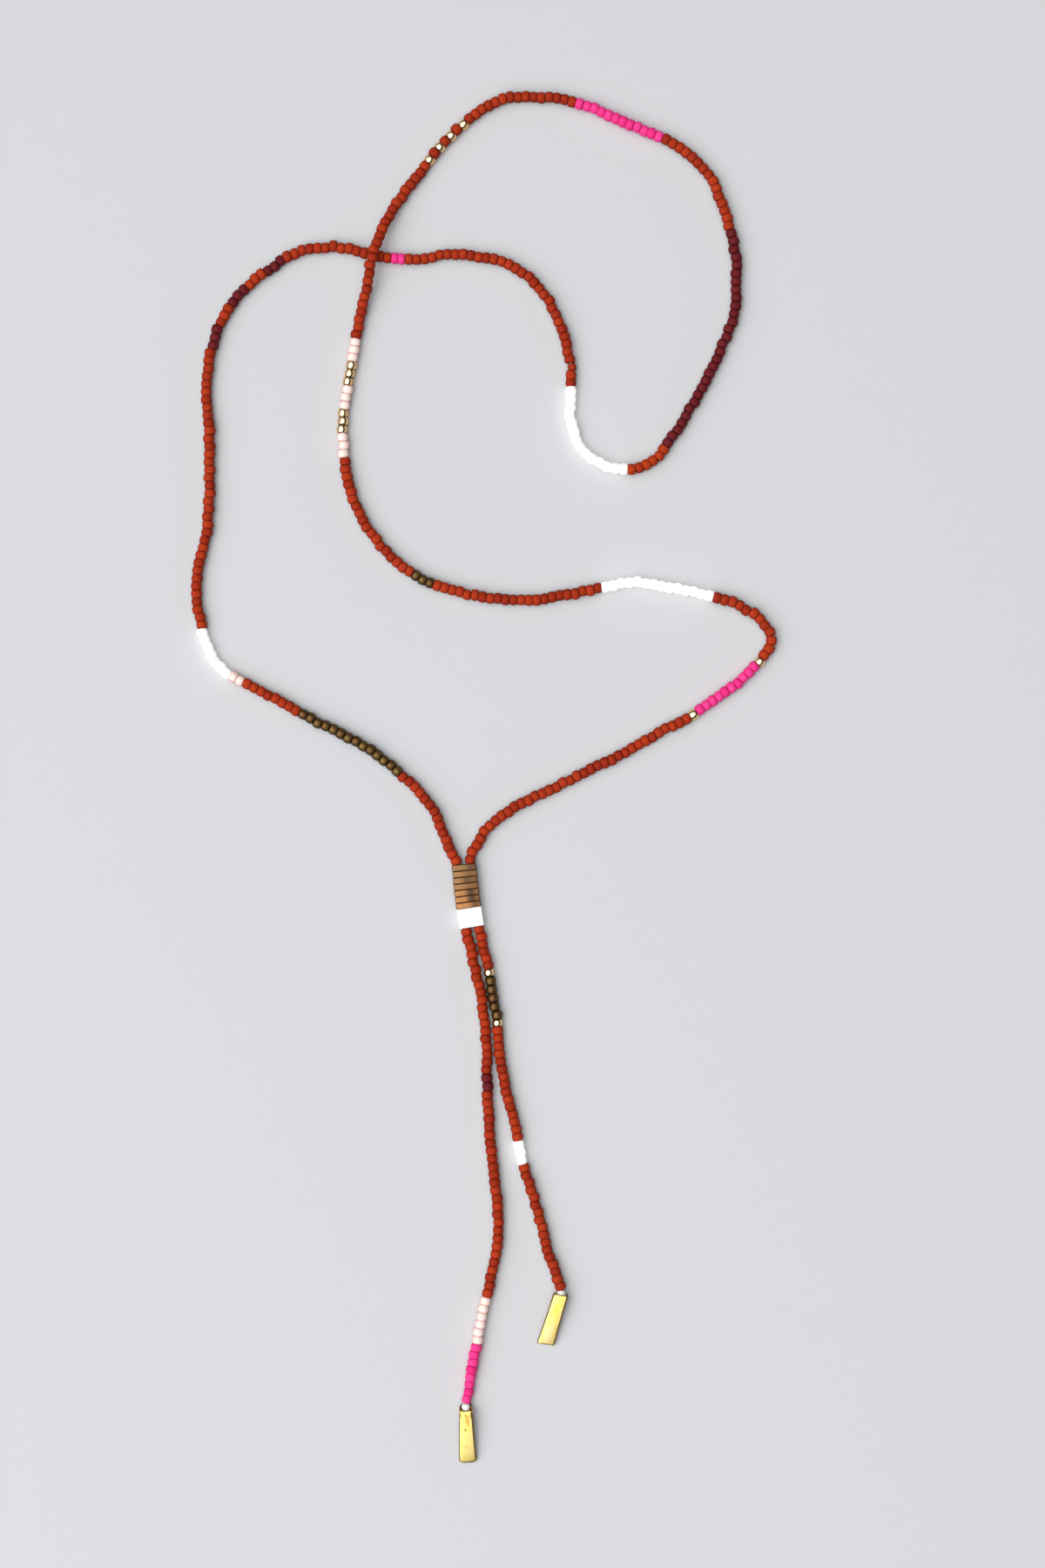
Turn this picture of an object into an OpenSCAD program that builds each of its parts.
// Bolo necklace of seed beads, lying on a table as it was put down.
// X runs to the right, Y towards the back of the neck loop and Z up. The origin is on the table,
// under the middle of the necklace. Lengths are in millimetres and angles in degrees.
// Seed beads too small to be pieces of their own are one plain tube for each threaded row.

/* [Bead strings] */
// Diameter of a seed bead, and of the tube that stands for a row of them
bead_d = 2.2; // [2:0.05:2.25]
// Gap between two pieces that are threaded against each other
gap = 0.12; // [0.1:0.01:0.2]

/* [Slide bar] */
// Length of a tile bead, across the two strands
tile_l = 4.8; // [4.7:0.1:5.2]
// Width of a tile bead, along the strands
tile_w = 1.1; // [1:0.02:1.1]
// Thickness of a tile bead, up from the table
tile_t = 1.9; // [1.7:0.1:2.1]
// Radius of a tile bead's rounded edges
tile_edge_r = 0.22; // [0.1:0.02:0.4]
// Distance between the two holes of a tile bead
hole_spacing = 2.7; // [2.5:0.1:2.9]
// Diameter of the holes in tile and stop beads
hole_d = 0.8; // [0.7:0.05:0.9]
// Distance from the middle of one tile bead to the middle of the next
tile_pitch = 1.23; // [1.23:0.01:1.4]
// How many bronze tile beads, from the neck downwards
bronze_tiles = 7; // [1:1:9]
// How many white tile beads follow them
white_tiles = 3; // [1:1:9]
// Lean of the top tile bead
bar_lean = 5; // [0:0.5:8]
// Turn from each tile bead to the next, which fans the bar a little
tile_turn = 0.5; // [0.3:0.1:0.5]

/* [End bars] */
// Length of the left end bar
left_bar_l = 11.3; // [10:0.1:14]
// Length of the right end bar
right_bar_l = 10.3; // [9.5:0.1:14]
// Width of the left end bar's mouth
left_mouth_w = 2.45; // [2.45:0.05:2.8]
// Width of the right end bar's mouth
right_mouth_w = 2.9; // [2.8:0.1:3.1]
// Width of the left end bar's flat tip
left_tip_w = 3.5; // [3.3:0.1:3.8]
// Width of the right end bar's flat tip
right_tip_w = 3.5; // [3.3:0.1:3.8]
// Height of an end bar's mouth
mouth_h = 2.5; // [2.5:0.1:2.8]
// Thickness of its flat tip
tip_t = 0.9; // [0.9:0.1:1.2]
// Radius of its long edges
bar_edge_r = 0.42; // [0.36:0.01:0.44]
// Thickness of its wall
wall = 0.25; // [0.2:0.01:0.28]
// Length of the closed part at the tip
closed_l = 1; // [0.6:0.1:2]
// Depth of the cut in the upper side of the left bar's mouth
scoop_l = 1; // [0.8:0.1:1.1]

/* [Stop beads and thread] */
// Diameter of the stop bead in the mouth of an end bar
stop_d = 1.65; // [1.5:0.05:1.7]
// Length of the stop bead
stop_l = 1.5; // [1.3:0.1:1.8]
// How far the left stop bead stands out of its mouth
left_stop_out = 0.3; // [0.3:0.1:0.6]
// How far the right stop bead stands out of its mouth
right_stop_out = 0.9; // [0.6:0.1:1.2]
// Diameter of the thread
thread_d = 0.4; // [0.3:0.05:0.45]
// Length of thread inside an end bar
thread_in = 3; // [2:0.5:5]

/* [Hidden] */
// Sides of a bead tube, with a flat side down, and the radius that gives it its diameter
tube_sides = 8;
tube_r = bead_d / 2 / cos(180 / tube_sides);
// Rings along each half of the neck string and along each tail
neck_rings = 76;
left_tail_rings = 22;
right_tail_rings = 18;

// The neck string's way from the slide bar's left hole to its right one: [x, y, height above
// lying flat]. It passes under itself at [-22, 102] and over itself at [-21.5, 101.5].
neck_way = [
    [-6.5, -14, 0], [-9, -8, 0], [-12, -3.5, 0], [-19.5, 3.5, 0], [-26, 7.5, 0], [-33, 11, 0],
    [-40, 15, 0], [-47, 18.5, 0], [-51, 21, 0], [-53.5, 24.5, 0], [-55, 29, 0], [-56, 35.5, 0],
    [-55.5, 42, 0], [-54, 48.5, 0], [-53.5, 57, 0], [-53.5, 66, 0], [-54, 74, 0], [-53.5, 81.5, 0],
    [-51.5, 88.5, 0], [-47.5, 94.5, 0], [-42, 99, 0], [-36, 102.5, 0], [-29, 103.5, 0],
    [-22, 102, 0], [-14.5, 101, 0], [-7, 102, 0], [0, 101.5, 0], [6, 99.5, 0], [11, 95.5, 0],
    [14.5, 89.5, 0], [16.7, 82, 0], [17, 75, 0], [17, 70, 0], [19, 64.5, 0], [23.5, 61, 0],
    [29, 60, 0], [33.5, 62, 0], [37, 66.5, 0], [41, 73, 0], [44, 78.5, 0], [47, 85, 0],
    [49, 90.5, 0], [49.5, 97, 0], [49, 103.5, 0], [47, 111, 0], [44, 117.5, 0], [39, 122.5, 0],
    [32, 126, 0], [25, 129, 0], [18, 131.8, 0], [10.5, 132.8, 0], [3.5, 132.3, 0], [-2, 129, 0],
    [-7, 124.5, 0], [-12, 118.5, 0], [-16.5, 112.5, 0.2], [-20, 106, 1.8], [-21.5, 101.5, 2.5],
    [-22.5, 96.5, 1.8], [-24, 90, 0.2], [-25, 84.5, 0], [-26, 79, 0], [-27, 73.5, 0],
    [-27.5, 67.5, 0], [-27, 61.5, 0], [-25.5, 54.5, 0], [-22.5, 48.5, 0], [-18, 43, 0],
    [-12.5, 39, 0], [-6, 36.5, 0], [1, 35, 0], [9, 34.5, 0], [16, 35.5, 0], [23, 37, 0],
    [30, 38, 0], [37, 37, 0], [44, 35.5, 0], [50, 33.5, 0], [54.3, 30, 0], [56.1, 27, 0],
    [55, 24, 0], [51, 19.5, 0], [46, 15.9, 0], [41, 12.3, 0], [35, 9, 0], [28, 5, 0], [21, 1.5, 0],
    [14, -2, 0], [7, -5.5, 0], [3, -8, 0], [0, -11, 0], [-2, -14.5, 0]
];
// Where on that way the two halves meet
neck_split = 40;

// The tails' ways from the slide bar down to the end bars
left_tail_way = [
    [-2.5, -33.5, 0], [-1.5, -38, 0], [-0.6, -42, 0], [0.1, -46, 0], [0.4, -50, 0], [0.7, -55, 0],
    [0.8, -60, 0], [1, -66, 0], [1.5, -73, 0], [2.4, -80, 0], [3, -87, 0], [2.6, -92.5, 0],
    [1.8, -96.5, 0], [0.6, -101.5, 0], [-0.6, -107, 0], [-1.7, -113, 0], [-2.7, -119, 0]
];
right_tail_way = [
    [0, -33, 0], [1, -37.5, 0], [1.8, -42, 0], [2.5, -46, 0], [2.8, -50, 0], [3.2, -54.5, 0],
    [4, -59, 0], [5.2, -64, 0], [6.4, -69, 0], [7.6, -75, 0], [9.2, -80, 0], [10.8, -85.5, 0],
    [12.2, -91, 0], [13.8, -96, 0]
];

// Middle of the first tile bead, and the circle that the bar's middle line follows
first_tile = [-3.75, -17.65];
tile_count = bronze_tiles + white_tiles;
bar_r = tile_pitch / (tile_turn * PI / 180);
bar_centre = first_tile + bar_r * [cos(bar_lean), sin(bar_lean)];

// Middle of each end bar's mouth, and the way that its tip points, from -Y towards +X
left_mouth = [-3.44, -122.6];
left_heading = 2.2;
right_mouth = [15.13, -101];
right_heading = -16.8;
// Sections along an end bar, as shares of its length, and points round each section
bar_steps = [0, 0.25, 0.5, 0.75, 0.96, 1];
section_points = 24;
// How a bar widens: evenly with a flare of 1, more towards its tip with a larger one
left_flare = 1;
right_flare = 2;
// How much narrower each side of the very tip is than the bar just before it
left_tip_round = 0.45;
right_tip_round = 0.15;
// How far a bar's ends lean from square to its middle line
left_skew = 0;
right_skew = 8;
// Radius of the cut in the left bar's mouth, and the height from which it takes the wall away
scoop_r = 3;
scoop_z = 0.55 * mouth_h;
// Side of the square that trims each corner of that mouth's lip
lip_trim = 0.5;

LEFT = -1;
RIGHT = 1;
$fn = 48;

// Points on the slide bar

// Heading of tile number i, from 0 at the neck
function tile_heading(i) = bar_lean + i * tile_turn;
// The unit steps across the bar and up it at tile i
function tile_across(i) = [cos(tile_heading(i)), sin(tile_heading(i))];
function tile_up(i) = [-sin(tile_heading(i)), cos(tile_heading(i))];
// A point beside the middle of tile i, given across the bar and up it
function on_tile(i, across, up) = bar_centre - (bar_r - across) * tile_across(i) + up * tile_up(i);
// Where a bead string starts, clear of the end tile's face, at table height plus its own radius
function string_start(i, side, end) =
    let (p = on_tile(i, side * hole_spacing / 2, end * (tile_w / 2 + gap))) [p.x, p.y, 0];

// Points on an end bar

// The unit step from mouth to tip
function bar_step(heading) = [sin(heading), -cos(heading)];
// A point on the bar's middle line, a distance from its mouth, as part of a bead string's way
function on_bar(mouth, heading, distance, height) =
    let (p = mouth + distance * bar_step(heading)) [p.x, p.y, height];
// Where the tail string ends, clear of the stop bead
function string_end(mouth, heading, stop_out) =
    on_bar(mouth, heading, -stop_out - gap, mouth_h / 2 - bead_d / 2);

// Smooth way through the points of a list

// The point at place u, which runs from 0 at the first point to 1 at the second, and so on
function smooth(way, u) =
    let (
        last = len(way) - 1,
        i = min(floor(u), last - 1),
        t = u - i,
        a = way[max(i - 1, 0)],
        b = way[i],
        c = way[i + 1],
        d = way[min(i + 2, last)],
        p = (2 * b + (c - a) * t + (2 * a - 5 * b + 4 * c - d) * t * t
            + (3 * b - a - 3 * c + d) * t * t * t) / 2
    )
    [p.x, p.y, max(p.z, 0)];
// A row of evenly spread places along the way, from u_start to u_end
function middle_line(way, u_start, u_end, rings) =
    [for (k = [0 : rings - 1]) smooth(way, u_start + (u_end - u_start) * k / (rings - 1))];

// Solids made of rings of points

function unit(v) = v / norm(v);
// One ring of the tube at point p, square to the direction given, with a flat side down
function tube_ring(p, direction) =
    let (side = unit(cross(direction, [0, 0, 1])), up = cross(side, direction))
    [for (k = [0 : tube_sides - 1])
        let (angle = (k + 0.5) * 360 / tube_sides)
        p + [0, 0, bead_d / 2] + tube_r * (cos(angle) * side + sin(angle) * up)];
// The rings of a tube along a line; the end faces are square to the two directions given
function tube_rings(line, first_direction, last_direction) =
    let (last = len(line) - 1)
    [for (k = [0 : last])
        let (direction =
            k == 0 ? first_direction : k == last ? last_direction : line[k + 1] - line[k - 1])
        tube_ring(line[k], unit(direction))];
// A closed solid through rings that all have the same number of points
module loft(rings) {
    sides = len(rings[0]);
    last = len(rings) - 1;
    skin = [for (r = [0 : last - 1]) for (k = [0 : sides - 1])
        let (a = r * sides + k, b = r * sides + (k + 1) % sides)
        each [[a, b, b + sides], [a, b + sides, a + sides]]];
    start_face = [for (k = [sides - 1 : -1 : 0]) k];
    end_face = [for (k = [0 : sides - 1]) last * sides + k];
    polyhedron([for (ring = rings) each ring], concat(skin, [start_face, end_face]));
}
// A rectangle with round corners, centred
module round_rectangle(width, height, r) {
    square([width - 2 * r, height], center = true);
    square([width, height - 2 * r], center = true);
    for (x = [LEFT, RIGHT], y = [-1, 1])
        translate([x * (width / 2 - r), y * (height / 2 - r)]) circle(r);
}

// The whole way of the neck string, with its two ends at the slide bar
whole_neck_way = concat(
    [string_start(0, LEFT, 1)], neck_way, [string_start(0, RIGHT, 1)]
);
whole_left_tail_way = concat(
    [string_start(tile_count - 1, LEFT, -1)], left_tail_way,
    [string_end(left_mouth, left_heading, left_stop_out)]
);
whole_right_tail_way = concat(
    [string_start(tile_count - 1, RIGHT, -1)], right_tail_way,
    [string_end(right_mouth, right_heading, right_stop_out)]
);
top_face = [tile_up(0).x, tile_up(0).y, 0];
bottom_face = -[tile_up(tile_count - 1).x, tile_up(tile_count - 1).y, 0];
// The neck string's heading where its halves meet, and half their gap as a share of a step there
split_step = (whole_neck_way[neck_split + 1] - whole_neck_way[neck_split - 1]) / 2;
half_gap = gap / 2 / norm(split_step);

// Half of the neck string, from the slide bar's left hole to where the halves meet
module neck_string_left() {
    color("firebrick")
        loft(tube_rings(
            middle_line(whole_neck_way, 0, neck_split - half_gap, neck_rings),
            top_face, split_step
        ));
}

// The other half, which crosses over the first
module neck_string_right() {
    last = len(whole_neck_way) - 1;
    color("firebrick")
        loft(tube_rings(
            middle_line(whole_neck_way, neck_split + half_gap, last, neck_rings),
            split_step, -top_face
        ));
}

// A tail string, from the slide bar down to an end bar
module tail_string(way, rings, heading) {
    tip_way = bar_step(heading);
    color("firebrick")
        loft(tube_rings(
            middle_line(way, 0, len(way) - 1, rings), bottom_face, [tip_way.x, tip_way.y, 0]
        ));
}

// A flat tile bead with two holes along the strands, lying flat with its middle at the origin
module tile_bead() {
    difference() {
        intersection() {
            rotate([90, 0, 0])
                linear_extrude(tile_w, center = true) round_rectangle(tile_l, tile_t, tile_edge_r);
            linear_extrude(tile_t, center = true) round_rectangle(tile_l, tile_w, tile_edge_r);
        }
        for (side = [LEFT, RIGHT])
            translate([side * hole_spacing / 2, 0, 0])
                rotate([90, 0, 0]) cylinder(h = 2 * tile_w, d = hole_d, center = true);
    }
}

// Tile bead number i in its place on the slide bar
module placed_tile(i, colour) {
    middle = on_tile(i, 0, 0);
    color(colour)
        translate([middle.x, middle.y, tile_t / 2]) rotate([0, 0, tile_heading(i)]) tile_bead();
}

// The thread through one row of tile holes, an arc that ends level with the outer tiles' faces
module slider_thread(side) {
    half_tile_turn = atan(tile_w / 2 / bar_r);
    color("saddlebrown")
        translate([bar_centre.x, bar_centre.y, tile_t / 2])
            rotate([0, 0, 180 + bar_lean - half_tile_turn])
                rotate_extrude(angle = (tile_count - 1) * tile_turn + 2 * half_tile_turn)
                    translate([bar_r - side * hole_spacing / 2, 0]) circle(d = thread_d);
}

// An end bar's height and width at a share of its length
function bar_height(share) = mouth_h + (tip_t - mouth_h) * share * share;
function bar_width(mouth_w, tip_w, flare, share) =
    mouth_w + (tip_w - mouth_w) * pow(share, flare);
// One section of an end bar at a share of its length: a rectangle with round corners. The inner
// skin is the wall's thickness inside.
function bar_section(mouth, heading, skew, length, share, width, inset) =
    let (
        r = bar_edge_r - inset,
        half_w = width / 2 - bar_edge_r,
        half_h = bar_height(share) / 2 - bar_edge_r,
        middle = on_bar(mouth, heading, share * length, bar_height(share) / 2),
        step = bar_step(heading),
        lean = -tan(skew) * step,
        across = [cos(heading) + lean.x, sin(heading) + lean.y, 0]
    )
    [for (k = [0 : section_points - 1])
        let (
            angle = (k + 0.5) * 360 / section_points,
            side = cos(angle) > 0 ? 1 : -1,
            top = sin(angle) > 0 ? 1 : -1
        )
        middle + (side * half_w + r * cos(angle)) * across
            + [0, 0, top * half_h + r * sin(angle)]];

// An end bar: up the outside from tip to mouth, then down the inside to the closed tip
module end_bar(mouth, heading, length, mouth_w, tip_w, flare, tip_round, skew) {
    steps = len(bar_steps);
    outside = [for (k = [steps - 1 : -1 : 0])
        let (
            share = bar_steps[k],
            width = bar_width(mouth_w, tip_w, flare, share) - (share == 1 ? 2 * tip_round : 0)
        )
        bar_section(mouth, heading, skew, length, share, width, 0)];
    inside = [for (share = [0, 0.3, 0.6, 1 - closed_l / length])
        let (width = bar_width(mouth_w, tip_w, flare, share))
        bar_section(mouth, heading, skew, length, share, width, wall)];
    color("gold") loft(concat(outside, inside));
}

// The left end bar, whose mouth has a cut in its upper side that bares the stop bead. The lip
// that is left below has trimmed corners.
module left_end_bar() {
    scoop = on_bar(left_mouth, left_heading, scoop_l - scoop_r, scoop_z);
    across = [cos(left_heading), sin(left_heading), 0];
    difference() {
        end_bar(left_mouth, left_heading, left_bar_l, left_mouth_w, left_tip_w, left_flare,
            left_tip_round, left_skew);
        translate(scoop) cylinder(h = mouth_h, r = scoop_r);
        for (side = [LEFT, RIGHT])
            translate(on_bar(left_mouth, left_heading, 0, mouth_h / 2)
                + side * left_mouth_w / 2 * across)
                rotate([0, 0, left_heading + 45])
                    cube([lip_trim, lip_trim, 2 * mouth_h], center = true);
    }
}

// The right end bar, whose ends are cut a little out of square
module right_end_bar() {
    end_bar(right_mouth, right_heading, right_bar_l, right_mouth_w, right_tip_w, right_flare,
        right_tip_round, right_skew);
}

// The stop bead, a short drilled barrel that stands a little out of an end bar's mouth
module stop_bead(mouth, heading, stop_out) {
    middle = on_bar(mouth, heading, stop_l / 2 - stop_out, mouth_h / 2);
    color("white")
        translate(middle) rotate([90, 0, heading])
            rotate_extrude()
                intersection() {
                    round_rectangle(stop_d, stop_l, stop_l / 4);
                    translate([hole_d / 2, -stop_l / 2]) square([stop_d / 2, stop_l]);
                }
}

// The thread through a stop bead, from the bead's outer face into the bar
module tip_thread(mouth, heading, stop_out) {
    start = on_bar(mouth, heading, -stop_out, mouth_h / 2);
    color("saddlebrown")
        translate(start) rotate([90, 0, heading])
            cylinder(h = stop_out + thread_in, d = thread_d);
}

TILES = concat(
    [for (i = [1 : bronze_tiles]) str("bronze_tile_", i)],
    [for (i = [1 : white_tiles]) str("white_tile_", i)]
);

neck_string_left();
neck_string_right();
tail_string(whole_left_tail_way, left_tail_rings, left_heading);  // tail_string_left
tail_string(whole_right_tail_way, right_tail_rings, right_heading);  // tail_string_right
for (i = [0 : tile_count - 1])
    placed_tile(i, i < bronze_tiles ? "peru" : "white");
slider_thread(LEFT);  // slider_thread_left
slider_thread(RIGHT);  // slider_thread_right
left_end_bar();  // end_bar_left
right_end_bar();  // end_bar_right
stop_bead(left_mouth, left_heading, left_stop_out);  // stop_bead_left
stop_bead(right_mouth, right_heading, right_stop_out);  // stop_bead_right
tip_thread(left_mouth, left_heading, left_stop_out);  // tip_thread_left
tip_thread(right_mouth, right_heading, right_stop_out);  // tip_thread_right
